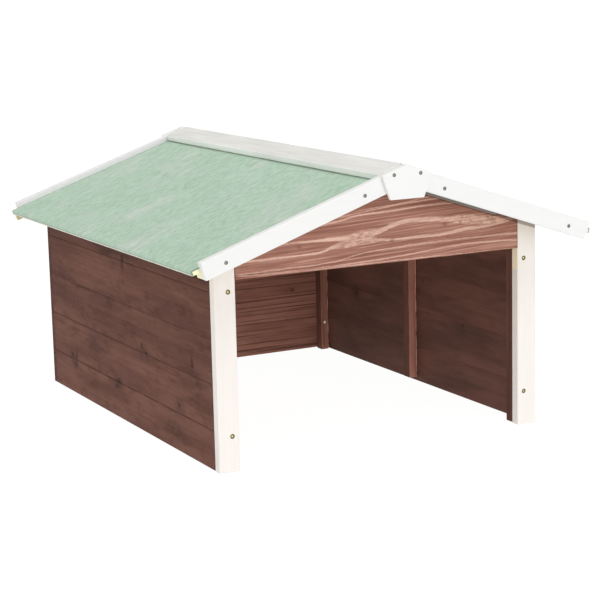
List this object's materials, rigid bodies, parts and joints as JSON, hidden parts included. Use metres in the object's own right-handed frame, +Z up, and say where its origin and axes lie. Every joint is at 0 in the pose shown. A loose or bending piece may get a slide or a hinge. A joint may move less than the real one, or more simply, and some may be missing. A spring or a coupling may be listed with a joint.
{
  "type": "open-fronted small animal shelter",
  "caption": "Open-fronted, floorless timber shelter with boarded walls, white front posts and a felted gable roof edged with white barge boards and a ridge cap.",
  "frame": {"origin": "on the ground, in the middle of the box that holds the whole shelter", "axes": "+X to the right seen from the open front, +Y from the front to the back wall along the ridge, +Z up"},
  "size_m": [0.731, 0.87, 0.4754],
  "materials": {
    "stained_timber": "thin red-brown stain, matt",
    "white_timber": "white paint, satin",
    "roof_felt": "pale green mineral felt, matt",
    "bare_pine": "unfinished pine, matt",
    "screw": "yellow zinc plated"
  },
  "bodies": {
    "root": {"back_wall_board_1": "stained_timber", "back_wall_board_2": "stained_timber", "back_wall_board_3": "stained_timber", "back_wall_board_4": "stained_timber", "back_wall_board_5": "stained_timber", "back_wall_board_6": "stained_timber", "front_gable_board": "stained_timber", "front_plate_screw_left": "screw", "front_plate_screw_right": "screw", "front_ridge_plate": "white_timber", "left_front_barge_board": "white_timber", "left_front_barge_screw_lower": "screw", "left_front_barge_screw_upper": "screw", "left_front_batten": "stained_timber", "left_front_post": "white_timber", "left_front_roof_batten": "white_timber", "left_middle_batten": "stained_timber", "left_post_screw_lower": "screw", "left_post_screw_upper": "screw", "left_rear_barge_board": "white_timber", "left_rear_barge_screw_lower": "screw", "left_rear_barge_screw_upper": "screw", "left_rear_batten": "stained_timber", "left_rear_batten_screw": "screw", "left_rear_roof_batten": "white_timber", "left_ridge_cap": "white_timber", "left_roof_deck": "bare_pine", "left_roof_felt": "roof_felt", "left_wall_board_1": "stained_timber", "left_wall_board_2": "stained_timber", "left_wall_board_3": "stained_timber", "left_wall_board_4": "stained_timber", "left_wall_board_5": "stained_timber", "rear_plate_screw_left": "screw", "rear_plate_screw_right": "screw", "rear_ridge_plate": "white_timber", "right_front_barge_board": "white_timber", "right_front_barge_screw_lower": "screw", "right_front_barge_screw_upper": "screw", "right_front_batten": "stained_timber", "right_front_post": "white_timber", "right_front_roof_batten": "white_timber", "right_middle_batten": "stained_timber", "right_post_screw_lower": "screw", "right_post_screw_upper": "screw", "right_rear_barge_board": "white_timber", "right_rear_barge_screw_lower": "screw", "right_rear_barge_screw_upper": "screw", "right_rear_batten": "stained_timber", "right_rear_batten_screw": "screw", "right_rear_roof_batten": "white_timber", "right_ridge_cap": "white_timber", "right_roof_deck": "bare_pine", "right_roof_felt": "roof_felt", "right_wall_board_1": "stained_timber", "right_wall_board_2": "stained_timber", "right_wall_board_3": "stained_timber", "right_wall_board_4": "stained_timber", "right_wall_board_5": "stained_timber"}
  },
  "joints": []
}
